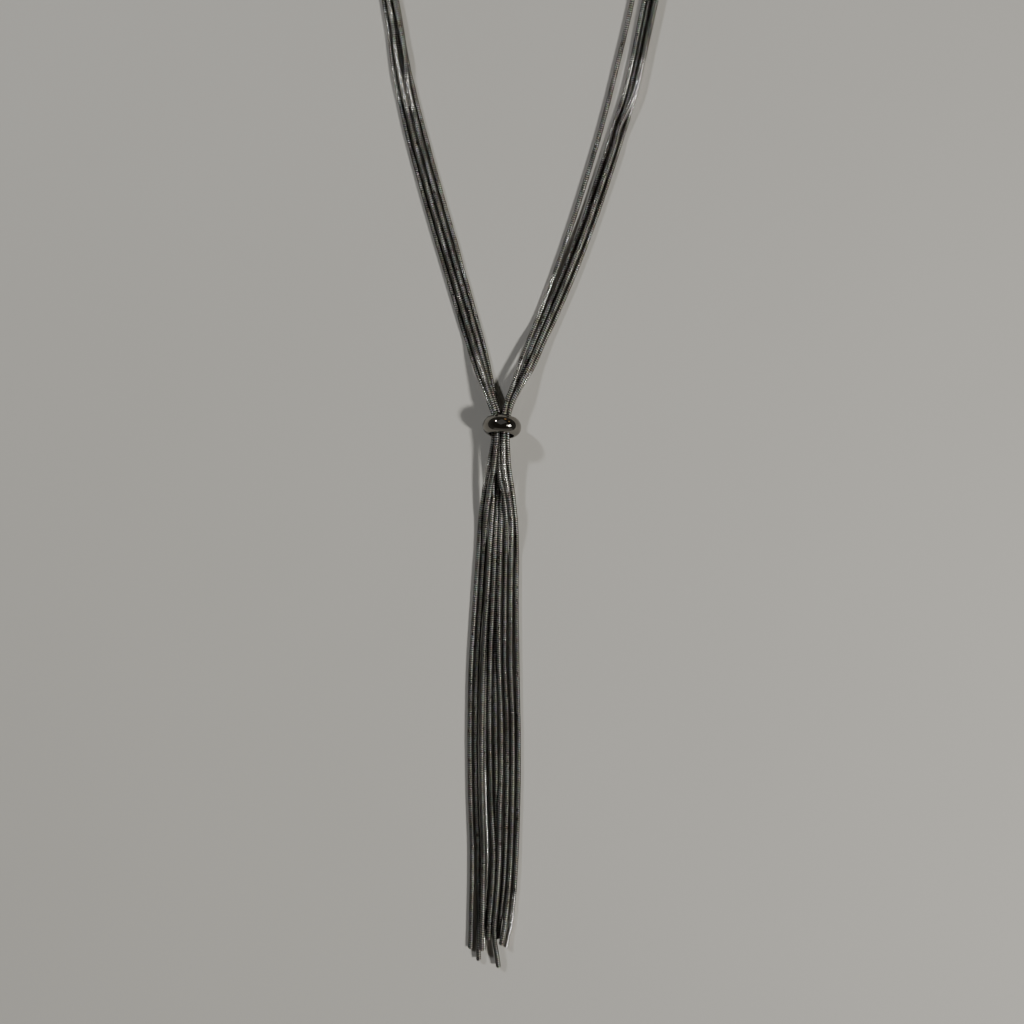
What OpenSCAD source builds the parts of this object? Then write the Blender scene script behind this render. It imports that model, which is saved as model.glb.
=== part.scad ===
// Lariat necklace of ten fine round snake chains. Five come down each side of the neck,
// all ten pass through a domed slider, and their cut ends hang on below it as a tassel.
// It lies flat, as set down: X across, Y from the tassel (-) to the back of the neck (+),
// Z up from the surface that it rests on. The slider's middle is at X 0, Y 0 of the tables.

/* [Chains] */
// Diameter of one round snake chain
chain_d = 1.1; // [1.0:0.05:1.1]
// Gap that is kept between chains that lie together
chain_gap = 0.03; // [0.03:0.01:0.1]
// How far a chain comes down over each millimetre of its run, once nothing holds it up
chain_fall = 0.2; // [0.15:0.01:0.3]

/* [Slider] */
// Outer diameter of the slider
bead_d = 8.1; // [8:0.1:8.4]
// Length of the slider along the chains
bead_len = 3.7; // [3.5:0.1:4]
// Diameter of the slider's bore
bead_bore = 5.3; // [5.3:0.1:5.5]
// Turn of the slider on the chains, seen from above, in degrees
bead_turn = -5; // [-6:0.5:-4]
// Lift of the slider's tassel end off the surface, in degrees
bead_lift = 9.5; // [8:0.5:10]

/* [Neck loop] */
// Rise of each side from the end of its table to the middle of the arc round the neck
loop_rise = 74; // [60:1:90]
// Length of the clasp along the loop
clasp_len = 15; // [13:0.5:18]
// Height of the clasp
clasp_h = 3.2; // [3:0.1:4]

/* [Hidden] */

chain_r = chain_d / 2;
sides = 8;
// A chain's middle lies this high on a flat bed: half way across the flats of its tube
lie = chain_r * cos(180 / sides);
pitch = chain_d + chain_gap;

// The slider's wall is an arc outside and a straight bore inside, this thick at its two rims
bead_rim = 0.2;
dome_rise = bead_d / 2 - bead_bore / 2 - bead_rim;
dome_r = (bead_len * bead_len / 4 + dome_rise * dome_rise) / (2 * dome_rise);
bead_mid = (bead_d / 2 - dome_r) * cos(bead_lift) + dome_r;
// How far from the bore's middle a chain in it can lie, and how far along the bore holds it
seat_r = bead_bore / 2 - chain_r - 2 * chain_gap;
held = bead_len / 2 + 0.4;

// Places of the chains across the tassel, in mm, a row for each section.
// Columns: distance below the slider's middle, then the five chains of the left side of
// the neck, 1 to 5, and the five of the right side, 1 to 5. A tassel reads from its left as
// left 1, 2, 5, 4, right 2, 3, 5, left 3, right 1, 4.
TASSEL = [
    //  down     L1     L2     L3     L4     L5     R1     R2     R3     R4     R5
    [    0,  -1.70, -1.05, -0.55, -0.60, -1.25,  0.35,  0.00,  0.60,  1.20,  1.20],
    [  2.1,  -1.70, -1.05, -0.55, -0.65, -1.30,  0.30, -0.05,  0.55,  1.10,  1.10],
    [    5,  -2.10, -1.30, -0.60, -1.00, -1.60,  0.30, -0.15,  0.45,  1.20,  1.05],
    [  7.5,  -2.65, -1.60, -0.70, -1.30, -1.90,  0.35, -0.30,  0.30,  1.35,  0.90],
    [   10,  -3.15, -1.95, -0.55, -1.50, -2.00,  0.60, -0.50,  0.10,  1.65,  0.65],
    [   13,  -3.70, -2.55,  0.05, -1.60, -1.95,  1.15, -0.75, -0.20,  2.10,  0.30],
    [ 14.5,  -3.90, -2.75,  0.35, -1.60, -1.95,  1.40, -0.85, -0.30,  2.30,  0.10],
    [   16,  -4.15, -3.00,  0.55, -1.60, -1.95,  1.60, -0.95, -0.45,  2.45, -0.05],
    [   20,  -4.60, -3.45,  0.85, -1.80, -2.25,  1.95, -1.25, -0.65,  2.85, -0.25],
    [   25,  -4.95, -3.80,  0.75, -2.05, -2.60,  1.90, -1.50, -0.90,  3.05, -0.40],
    [   30,  -5.30, -4.15,  0.65, -2.25, -2.85,  1.85, -1.70, -1.10,  3.05, -0.55],
    [   36,  -5.70, -4.50,  0.55, -2.60, -3.20,  1.80, -1.95, -1.35,  3.00, -0.65],
    [   42,  -6.10, -4.90,  0.50, -3.05, -3.60,  1.75, -2.25, -1.45,  3.05, -0.75],
    [   48,  -6.45, -5.25,  0.45, -3.40, -3.90,  1.75, -2.50, -1.50,  3.15, -0.70],
    [   54,  -6.70, -5.50,  0.65, -3.65, -4.10,  1.90, -2.65, -1.55,  3.25, -0.55],
    [   60,  -6.80, -5.60,  0.95, -3.75, -4.25,  2.15, -2.70, -1.50,  3.35, -0.30],
    [   66,  -6.85, -5.65,  1.05, -3.80, -4.35,  2.25, -2.65, -1.45,  3.45, -0.20],
    [   72,  -6.80, -5.60,  1.05, -3.75, -4.35,  2.25, -2.55, -1.35,  3.45, -0.20],
    [   78,  -6.70, -5.50,  0.95, -3.60, -4.25,  2.15, -2.40, -1.30,  3.35, -0.40],
    [   84,  -6.50, -5.30,  0.80, -3.40, -4.10,  2.00, -2.10, -1.25,  3.20, -0.60],
    [   90,  -6.35, -5.05,  0.60, -3.20, -3.95,  1.80, -1.85, -1.25,  3.00, -0.60],
    [   94,  -6.35, -5.00,  0.40, -3.25, -4.00,  1.60, -1.95, -1.40,  2.80, -0.80],
    [   98,  -6.40, -4.95,  0.10, -3.40, -4.05,  1.30, -2.20, -1.65,  2.55, -1.05],
    [  102,  -6.50, -4.90, -0.30, -3.60, -4.10,  0.90, -2.55, -1.95,  2.20, -1.40],
    [  105,  -6.55, -4.90, -0.60, -3.75, -4.20,  0.50, -2.75, -2.10,  1.80, -1.65],
    [  108,  -6.65, -4.90, -0.95, -3.90, -4.25, -0.10, -2.90, -2.20,  1.10, -1.60],
    [  111,  -6.75, -4.95, -1.25, -4.00, -4.30, -0.60, -3.00, -2.30,  0.60, -1.10],
    [  114,  -6.80, -4.95, -1.50, -4.05, -4.30, -1.00, -3.10, -2.40,  0.20, -0.75],
];

// Length of each chain below the slider's middle, in the order of the columns
TASSEL_ENDS = [110.0, 112.3, 108.0, 110.4, 109.8, 108.6, 107.8, 107.0, 109.8, 113.7];

// Places of the chains across the neck, in mm, a row for each section.
// Columns: distance above the slider's middle, then the chains as in the tassel's table
NECK = [
    //    up      L1      L2      L3      L4      L5      R1      R2      R3      R4      R5
    [    0,   -1.70,  -1.05,  -0.55,  -0.60,  -1.25,   0.35,   0.00,   0.60,   1.20,   1.20],
    [  2.1,   -1.75,  -1.15,  -0.55,  -0.60,  -1.25,   0.40,   0.05,   0.65,   1.30,   1.30],
    [    5,   -2.60,  -2.00,  -1.45,  -1.15,  -1.90,   0.95,   0.95,   1.60,   2.05,   2.20],
    [    8,   -3.80,  -3.00,  -2.35,  -1.85,  -2.80,   2.05,   2.60,   3.20,   3.50,   3.70],
    [   11,   -5.00,  -4.00,  -3.20,  -2.50,  -3.60,   3.00,   4.10,   4.80,   4.90,   5.50],
    [   14,   -6.05,  -4.95,  -4.00,  -3.10,  -4.40,   4.00,   5.20,   6.00,   6.25,   7.05],
    [   18,   -7.30,  -6.15,  -5.05,  -4.05,  -5.60,   5.50,   6.70,   7.60,   7.95,   8.75],
    [   22,   -8.55,  -7.35,  -6.20,  -5.15,  -6.75,   7.10,   8.40,   9.50,   9.65,  10.70],
    [   27,  -10.05,  -8.85,  -7.65,  -6.55,  -8.25,   9.00,  10.50,  11.70,  11.85,  12.90],
    [   33,  -11.85, -10.65,  -9.45,  -8.25, -10.05,  11.25,  13.05,  14.25,  14.30,  15.45],
    [   39,  -13.65, -12.40, -11.15,  -9.85, -11.75,  13.35,  15.40,  16.60,  16.70,  17.80],
    [   45,  -15.40, -14.15, -12.90, -11.60, -13.50,  15.35,  17.60,  18.80,  18.85,  20.00],
    [   51,  -17.10, -15.85, -14.60, -13.30, -15.20,  17.25,  19.60,  20.80,  20.90,  22.00],
    [   57,  -18.70, -17.50, -16.30, -15.00, -16.90,  19.10,  21.55,  22.75,  22.95,  23.95],
    [   60,  -19.50, -18.30, -17.10, -15.80, -17.70,  20.00,  22.50,  23.70,  23.90,  24.90],
    [   63,  -20.25, -19.05, -17.80, -16.60, -18.40,  20.85,  23.45,  24.65,  24.60,  25.85],
    [   66,  -20.90, -19.75, -18.55, -17.40, -19.10,  21.65,  24.40,  25.60,  26.00,  26.80],
    [   69,  -21.55, -20.40, -19.25, -18.15, -19.80,  22.45,  25.35,  26.55,  27.35,  27.75],
    [   72,  -22.25, -21.05, -19.90, -18.85, -20.50,  23.20,  26.20,  27.40,  28.40,  28.60],
    [   75,  -22.80, -21.65, -20.20, -19.60, -20.95,  23.90,  26.90,  28.10,  29.10,  29.30],
    [   78,  -23.20, -22.20, -20.40, -20.20, -21.40,  24.65,  27.55,  28.75,  29.75,  29.95],
    [   81,  -23.55, -22.60, -20.90, -20.75, -21.90,  25.40,  28.15,  29.35,  30.35,  30.55],
    [   84,  -23.90, -22.95, -21.50, -21.20, -22.35,  26.10,  28.75,  29.95,  31.00,  31.20],
    [   87,  -24.45, -23.35, -22.00, -21.70, -22.85,  26.80,  29.35,  30.55,  31.70,  31.85],
    [ 90.5,  -25.00, -24.00, -22.70, -22.30, -23.50,  27.55,  30.05,  31.25,  32.45,  32.60],
];

// The columns in the order in which the chains lie on each other, lowest first. The lower
// tassel has settled in an order of its own, from TIP_FROM down.
LEFT = [0, 1, 2, 3, 4];
RIGHT = [5, 6, 7, 8, 9];
ORDER = [3, 7, 6, 4, 9, 0, 8, 2, 1, 5];
TIP_ORDER = [3, 7, 0, 1, 2, 8, 6, 4, 9, 5];
TIP_FROM = 36;
// A chain's end still carries what lies on it for this far past the end
carry = 3;

// Rows further apart than this get a section between them
row_step = 5;

function rise(t, c, r) = (t[r + 1][c] - t[r][c]) / (t[r + 1][0] - t[r][0]);
// Slope of a column at a row. It is level where the column turns back, so that the curve
// through the rows never swings past them.
function slope(t, c, r) =
    r == 0 ? rise(t, c, 0)
    : r == len(t) - 1 ? rise(t, c, r - 1)
    : let (before = rise(t, c, r - 1), after = rise(t, c, r))
      before * after <= 0 ? 0 : 2 * before * after / (before + after);
function row_below(t, y, r = 0) = r < len(t) - 2 && t[r + 1][0] <= y ? row_below(t, y, r + 1) : r;
// A chain's place across the table's direction at any y, on a smooth curve through the rows
function place(t, c, y) =
    let (r = row_below(t, y), h = t[r + 1][0] - t[r][0], u = (y - t[r][0]) / h)
    (1 - 3 * u * u + 2 * u * u * u) * t[r][c] + (3 * u * u - 2 * u * u * u) * t[r + 1][c]
    + (u - 2 * u * u + u * u * u) * h * slope(t, c, r) + (u * u * u - u * u) * h * slope(t, c, r + 1);
function sections(t) = [
    for (r = [0 : len(t) - 2])
        each t[r + 1][0] - t[r][0] > row_step ? [t[r][0], (t[r][0] + t[r + 1][0]) / 2] : [t[r][0]],
    t[len(t) - 1][0]
];
function places(t, ys) = [for (c = [1 : 10]) [for (y = ys) place(t, c, y)]];

// Height of the bed under a chain: the bore's lower side within the slider, else the surface.
// way is 1 above the slider's middle and -1 below it.
function bed(x, y, way) =
    y > held ? lie
    : let (off = x + way * y * tan(bead_turn))
      bead_mid - way * y * tan(bead_lift) - sqrt(seat_r * seat_r - off * off);

// Two chains that run askew are nearer to each other than their places in a section say
function lean(x, ys, k) =
    max([for (m = [max(k - 1, 0) : min(k, len(ys) - 2)]) abs((x[m + 1] - x[m]) / (ys[m + 1] - ys[m]))]);
function on_chain(gap, height) = gap < pitch ? height + sqrt(pitch * pitch - gap * gap) : 0;
// Height that the chain of column c takes in each section, on its bed and on the chains that
// lie there already, and then no steeper than it can fall
function settle(xs, ys, beds, order, n, done) =
    let (c = order[n],
         raw = [for (k = [0 : len(ys) - 1]) max([beds[c][k],
             for (m = [0 : 1 : n - 1]) let (
                 j = order[m],
                 skew = (lean(xs[c], ys, k) + lean(xs[j], ys, k)) / 2)
                 ys[k] > TASSEL_ENDS[j] + carry ? 0
                 : on_chain(abs(xs[c][k] - xs[j][k]) / sqrt(1 + skew * skew), done[m][k])])])
    [for (y = ys) max([for (k = [0 : len(ys) - 1]) raw[k] - chain_fall * abs(ys[k] - y)])];
function lay(xs, ys, beds, order, n = 0, done = []) =
    n == len(order) ? done
    : lay(xs, ys, beds, order, n + 1, concat(done, [settle(xs, ys, beds, order, n, done)]));
// Heights of column c in what lay() gives
function heights(laid, order, c) = laid[search(c, order)[0]];

function cut(list, from, to) = [for (k = [from : to]) list[k]];
function smooth(u) = u <= 0 ? 0 : u >= 1 ? 1 : u * u * (3 - 2 * u);

// The tassel, above and below TIP_FROM
tassel_ys = sections(TASSEL);
tassel_xs = places(TASSEL, tassel_ys);
tip_k = len([for (y = tassel_ys) if (y < TIP_FROM) y]);
tassel_end_k = len(tassel_ys) - 1;
top_ys = cut(tassel_ys, 0, tip_k);
top_xs = [for (xs = tassel_xs) cut(xs, 0, tip_k)];
top_beds = [for (xs = top_xs) [for (k = [0 : tip_k]) bed(xs[k], top_ys[k], -1)]];
top_laid = lay(top_xs, top_ys, top_beds, ORDER);
tip_ys = cut(tassel_ys, tip_k, tassel_end_k);
tip_xs = [for (xs = tassel_xs) cut(xs, tip_k, tassel_end_k)];
tip_beds = [for (xs = tip_xs) [for (y = tip_ys) lie]];
tip_laid = lay(tip_xs, tip_ys, tip_beds, TIP_ORDER);

// A chain is cut at its own length; a section nearer than this to the cut is left out
end_room = 0.8;
function tassel_run(c) =
    let (zs = concat(cut(heights(top_laid, ORDER, c), 0, tip_k - 1), heights(tip_laid, TIP_ORDER, c)),
         end = TASSEL_ENDS[c],
         k = max([for (m = [0 : tassel_end_k - 1]) if (tassel_ys[m] <= end) m]),
         u = (end - tassel_ys[k]) / (tassel_ys[k + 1] - tassel_ys[k]))
    concat([[place(TASSEL, c + 1, end), -end, zs[k] + u * (zs[k + 1] - zs[k])]],
        [for (m = [tassel_end_k : -1 : 0]) if (tassel_ys[m] < end - end_room)
            [tassel_xs[c][m], -tassel_ys[m], zs[m]]]);

// The neck, as far as its table goes
neck_ys = sections(NECK);
neck_xs = places(NECK, neck_ys);
neck_beds = [for (xs = neck_xs) [for (k = [0 : len(neck_ys) - 1]) bed(xs[k], neck_ys[k], 1)]];
neck_laid = lay(neck_xs, neck_ys, neck_beds, ORDER);
neck_end = neck_ys[len(neck_ys) - 1];
function neck_run(c) =
    let (zs = heights(neck_laid, ORDER, c))
    [for (k = [1 : len(neck_ys) - 1]) [neck_xs[c][k], neck_ys[k], zs[k]]];

// The rest of the loop goes the plain way round: each side runs straight on, in the direction
// that it has at its table's end, while its chains spread into one flat band, and then takes
// one arc to the clasp. Side 0 is the left one and side 1 the right one.
side_x = [-23.7, 30.1];
side_lean = [10.8, 12.4];
side_way = [-1, 1];
// Each chain's place in the flat band, counted in chains from the band's middle towards +X
BAND = [-2, -1, 1, 2, 0, -2, -1, 0, 1, 2];
// Sections of the straight run, as parts of its length, and of the arc
RUN = [0.07, 0.14, 0.21, 0.29, 0.39, 0.55, 0.75, 1];
arc_sections = 7;

// The arc ends a little before the clasp's mouth, and the chains end inside it
mouth_gap = 1;
chain_in = 2.6;
half_gap = clasp_len / 2 + mouth_gap;
left_mid_x = (side_x[0] * cos(side_lean[0]) + (side_x[1] - 2 * half_gap) * cos(side_lean[1])
    + loop_rise * (sin(side_lean[1]) - sin(side_lean[0]))) / (cos(side_lean[0]) + cos(side_lean[1]));
arc_mid_x = [left_mid_x, left_mid_x + 2 * half_gap];
arc_mid_y = neck_end + loop_rise;
arc_r = (arc_mid_x[0] - side_x[0]) * cos(side_lean[0]) + loop_rise * sin(side_lean[0]);
function run_length(side) =
    side_way[side] * (arc_mid_x[side] - side_x[side]) * sin(side_lean[side]) + loop_rise * cos(side_lean[side]);
function side_of(c) = c < 5 ? 0 : 1;

function run_places(side, ss) = [
    for (c = [0 : 9]) let (from = (neck_xs[c][len(neck_ys) - 1] - side_x[side]) * cos(side_lean[side]))
        [for (s = ss) from + (BAND[c] * pitch - from) * smooth(s / run_length(side))]
];
run_ss = [for (side = [0, 1]) concat([0], [for (part = RUN) part * run_length(side)])];
run_us = [for (side = [0, 1]) run_places(side, run_ss[side])];
side_order = [[for (c = ORDER) if (c < 5) c], [for (c = ORDER) if (c > 4) c]];
run_beds = [for (c = [0 : 9]) [for (s = run_ss[0]) lie]];
run_laid = [for (side = [0, 1]) lay(run_us[side], run_ss[side], run_beds, side_order[side])];
function straight_run(c) =
    let (side = side_of(c), way = side_way[side], a = side_lean[side],
         zs = heights(run_laid[side], side_order[side], c))
    [for (k = [1 : len(RUN)]) let (s = run_ss[side][k], u = run_us[side][c][k])
        [side_x[side] + way * s * sin(a) + u * cos(a), neck_end + s * cos(a) - way * u * sin(a), zs[k]]];

// Height of the clasp's two slots, and the part of the arc over which the band climbs to it
slot_z = clasp_h / 2;
climb_from = 0.55;
function arc_run(c) =
    let (side = side_of(c), way = side_way[side], a = side_lean[side], r = arc_r + way * BAND[c] * pitch)
    [for (k = [1 : arc_sections]) let (
            part = k / arc_sections,
            turn = 90 - way * (90 + a) * (1 - part))
        [arc_mid_x[side] + r * cos(turn), arc_mid_y + r * sin(turn),
         lie + (slot_z - lie) * smooth((part - climb_from) / (1 - climb_from))]];
function clasp_end(c) =
    let (side = side_of(c), way = side_way[side])
    [[arc_mid_x[side] - way * (mouth_gap + chain_in), arc_mid_y + arc_r + way * BAND[c] * pitch, slot_z]];
function route(c) = concat(tassel_run(c), neck_run(c), straight_run(c), arc_run(c), clasp_end(c));

// A tube with a flat side down, swept along a route
function unit(v) = v / norm(v);
function ring(points, k) =
    let (ahead = unit(points[min(k + 1, len(points) - 1)] - points[max(k - 1, 0)]),
         across = unit(cross(ahead, [0, 0, 1])),
         up = cross(across, ahead))
    [for (i = [0 : sides - 1]) let (turn = (i + 0.5) * 360 / sides)
        points[k] + chain_r * (cos(turn) * across + sin(turn) * up)];
module tube(points) {
    last = len(points) - 1;
    polyhedron(
        points = [for (k = [0 : last]) each ring(points, k)],
        faces = concat(
            [[for (i = [sides - 1 : -1 : 0]) i]],
            [for (k = [0 : last - 1], i = [0 : sides - 1]) let (j = (i + 1) % sides)
                each [[k * sides + i, k * sides + j, (k + 1) * sides + j],
                      [k * sides + i, (k + 1) * sides + j, (k + 1) * sides + i]]],
            [[for (i = [0 : sides - 1]) last * sides + i]]));
}

// The clasp is a plain bar with rounded edges and a slot in each end for the band of chains
clasp_w = 8;
slot_w = 5 * pitch + 0.4;
slot_h = chain_d + 0.4;
slot_deep = chain_in + 0.5;
clasp_x = (arc_mid_x[0] + arc_mid_x[1]) / 2;
clasp_y = arc_mid_y + arc_r;

// The origin is under the middle of the whole necklace
routes = [for (c = [0 : 9]) route(c)];
all_x = [for (points = routes, p = points) p[0]];
mid_x = (min(all_x) + max(all_x)) / 2;
mid_y = (clasp_y + clasp_w / 2 - max(TASSEL_ENDS)) / 2;
module placed() translate([-mid_x, -mid_y, 0]) children();

module strand(c) placed() color("dimgray") tube(routes[c]);
module strand_left_1() strand(LEFT[0]);
module strand_left_2() strand(LEFT[1]);
module strand_left_3() strand(LEFT[2]);
module strand_left_4() strand(LEFT[3]);
module strand_left_5() strand(LEFT[4]);
module strand_right_1() strand(RIGHT[0]);
module strand_right_2() strand(RIGHT[1]);
module strand_right_3() strand(RIGHT[2]);
module strand_right_4() strand(RIGHT[3]);
module strand_right_5() strand(RIGHT[4]);

// One domed ring, turned on the chains and lifted at its tassel end
module slider_bead() placed() color("silver")
    translate([0, 0, bead_mid]) rotate([0, 0, bead_turn]) rotate([-bead_lift, 0, 0]) rotate([90, 0, 0])
        rotate_extrude($fn = 96) intersection() {
            translate([bead_d / 2 - dome_r, 0]) circle(r = dome_r, $fn = 96);
            translate([bead_bore / 2, -bead_len / 2]) square([bead_d, bead_len]);
        }

// A bar's or a slot's section: a rectangle with two round ends, about its middle
module stadium(w, h) {
    square([w - h, h], center = true);
    for (way = [-1, 1]) translate([way * (w - h) / 2, 0]) circle(d = h, $fn = 48);
}
module clasp() placed() color("silver")
    translate([clasp_x, clasp_y, clasp_h / 2]) rotate([90, 0, 90]) difference() {
        linear_extrude(clasp_len, center = true) stadium(clasp_w, clasp_h);
        for (way = [-1, 1]) translate([0, 0, way * (clasp_len / 2 - slot_deep / 2 + 0.5)])
            linear_extrude(slot_deep + 1, center = true) stadium(slot_w, slot_h);
    }

strand_left_1();
strand_left_2();
strand_left_3();
strand_left_4();
strand_left_5();
strand_right_1();
strand_right_2();
strand_right_3();
strand_right_4();
strand_right_5();
slider_bead();
clasp();
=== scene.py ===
# %% [markdown]
# A lariat necklace of ten fine round snake chains lies on a pale table. Five chains come down
# each side of the neck, all ten pass through one polished slider, and their cut ends hang on
# below it as a tassel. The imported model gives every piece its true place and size. This script
# dresses it: it models the chains link by link, polishes the slider and the clasp, and sets up
# the table, the lights and the camera. All lengths are in metres, and named sizes are in
# millimetres, because that is how a jeweller measures.

# %% Load the frame
import math
import bpy
from mathutils import Matrix, Vector


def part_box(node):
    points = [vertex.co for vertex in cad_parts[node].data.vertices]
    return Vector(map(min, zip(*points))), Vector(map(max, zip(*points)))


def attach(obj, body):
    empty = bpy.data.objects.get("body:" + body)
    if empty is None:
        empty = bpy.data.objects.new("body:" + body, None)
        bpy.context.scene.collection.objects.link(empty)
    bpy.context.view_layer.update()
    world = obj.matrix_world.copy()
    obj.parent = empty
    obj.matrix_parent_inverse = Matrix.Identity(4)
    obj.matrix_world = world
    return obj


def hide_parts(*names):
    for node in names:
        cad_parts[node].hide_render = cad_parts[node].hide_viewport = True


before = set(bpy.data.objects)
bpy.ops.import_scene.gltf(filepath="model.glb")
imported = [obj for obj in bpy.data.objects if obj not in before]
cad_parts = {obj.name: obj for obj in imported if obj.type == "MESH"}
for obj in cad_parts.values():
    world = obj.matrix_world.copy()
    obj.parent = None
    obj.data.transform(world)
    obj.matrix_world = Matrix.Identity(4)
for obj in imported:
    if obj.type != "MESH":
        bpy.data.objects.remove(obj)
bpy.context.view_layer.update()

# %% [markdown]
# The route tables below count from the slider's middle, and the frame counts from the middle
# of the whole necklace. The slider is the same on both sides of its middle, so the middle of
# its box is that point. The chains' thickness and the gap between them are those of the frame.

# %% Sizes in common
MM = 0.001
CHAIN_D = 1.1
CHAIN_GAP = 0.03
CHAIN_R = CHAIN_D / 2
PITCH = CHAIN_D + CHAIN_GAP
low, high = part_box("slider_bead")
BEAD_X = (low[0] + high[0]) / 2
BEAD_Y = (low[1] + high[1]) / 2
print("slider's middle in the frame, mm:", round(BEAD_X * 1000, 2), round(BEAD_Y * 1000, 2))


def at(x, y, z=0.0):
    """A point given in mm from the slider's middle on the table, as a point of the frame."""
    return Vector((BEAD_X + x * MM, BEAD_Y + y * MM, z * MM))


# %% [markdown]
# The photograph looks straight down. Its picture is 1024 pixels across, and at the table one
# pixel is 0.212 mm, which with the camera's height gives the lens. The camera stands over the
# upper tassel, a little to the right of the slider, so that nothing needs a shift.

# %% Camera
PICTURE_PX = 1024
TABLE_MM_PER_PX = 0.212
CAMERA_HEIGHT = 215.0
CAMERA_X = 2.08
CAMERA_Y = -17.79
camera_data = bpy.data.cameras.new("camera")
camera_data.sensor_width = 36.0
camera_data.lens = 36.0 * CAMERA_HEIGHT / (PICTURE_PX * TABLE_MM_PER_PX)
camera_data.clip_start = 0.01
camera = bpy.data.objects.new("camera", camera_data)
bpy.context.scene.collection.objects.link(camera)
camera.location = at(CAMERA_X, CAMERA_Y, CAMERA_HEIGHT)
bpy.context.scene.camera = camera
print("lens, mm:", round(camera_data.lens, 2))

# %% [markdown]
# Every finish is a node material. Its colours are hex values as a paint chart gives them, and
# one function turns them to the linear values that Blender works in. The others add a node
# with its settings and its links, so that each material reads as a short list.

# %% Colour and node helpers
def linear(hex_colour):
    """An sRGB hex colour as linear RGBA."""
    parts = [int(hex_colour[i:i + 2], 16) / 255 for i in (1, 3, 5)]
    return tuple(c / 12.92 if c <= 0.04045 else ((c + 0.055) / 1.055) ** 2.4 for c in parts) + (1.0,)


def add_node(tree, kind, settings=None, **inputs):
    """Adds a node, sets its properties, and fills its inputs with values or other nodes' outputs."""
    node = tree.nodes.new(kind)
    for name, value in (settings or {}).items():
        setattr(node, name, value)
    for name, value in inputs.items():
        socket = node.inputs[int(name[1:])] if name[1:].isdigit() else node.inputs[name.replace("_", " ")]
        if isinstance(value, bpy.types.NodeSocket):
            tree.links.new(value, socket)
        else:
            socket.default_value = value
    return node


def remap(tree, value, start, end, low, high):
    """A value brought from the range start to end into the range low to high, and kept in it."""
    node = add_node(tree, "ShaderNodeMapRange", Value=value, From_Min=start, From_Max=end,
                    To_Min=low, To_Max=high)
    return node.outputs["Result"]


def product(tree, first, second):
    """Two values multiplied."""
    return add_node(tree, "ShaderNodeMath", {"operation": "MULTIPLY"}, _0=first, _1=second).outputs["Value"]


def ramp(tree, value, start, end):
    """A colour that runs between two ends, each a position and a hex colour."""
    node = add_node(tree, "ShaderNodeValToRGB", _0=value)
    for stop, (position, colour) in zip(node.color_ramp.elements, (start, end)):
        stop.position = position
        stop.color = linear(colour)
    return node.outputs["Color"]


def mix_colour(tree, factor, under, over, blend="MIX"):
    """A colour with another one mixed over it, as far as the factor says."""
    settings = {"data_type": "RGBA", "blend_type": blend}
    return add_node(tree, "ShaderNodeMix", settings, Factor=factor, A=under, B=over).outputs["Result"]


def new_material(name):
    """A material with its Principled shader, and the node tree to add to."""
    material = bpy.data.materials.new(name)
    material.use_nodes = True
    return material, material.node_tree, material.node_tree.nodes["Principled BSDF"]

# %% [markdown]
# Snake chain is made of short bands of sheet metal, each bent to a wavy ring and hooked into
# the next, so tightly that they make a supple tube. These chains are rhodium plated, a grey and
# slightly dark white metal. The bands are polished by tumbling and catch the light one by one,
# and shade is painted dark into the seams between them. A metal keeps the default IOR. Its
# colour says how grey it is, and a fine noise in the colour and roughness stands for plating
# that has worn unevenly. Streaks of painted sheen run along the chains, the neck loop is painted
# brighter than the tassel for the light it catches, and a few stretches are rubbed smooth and
# get a painted glint.

# %% Finish: rhodium plated snake chain, tumbled
# Sizes in mm of the patches in the plating, the streaks of painted sheen and smoother roughness, a band and
# a dint
PATCH = 1.5
STREAK_WIDTH = 1.2
STREAK_LENGTH = 14
BAND_LENGTH = 0.5
DINT = 0.3
DINT_DEPTH = 0.006
# The loop's painted light and its smoother rubbed streaks start and are full at these distances below the
# slider's middle, in mm
WEAR_AND_SHEEN_START = 40
WEAR_AND_SHEEN_FULL = 20
# How much of that painted light and smoothing the tassel has, as a part of the loop's
TASSEL_WEAR_AND_SHEEN = 0.35
# One band in twenty has stayed smooth
SMOOTH_BANDS = 0.95


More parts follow.
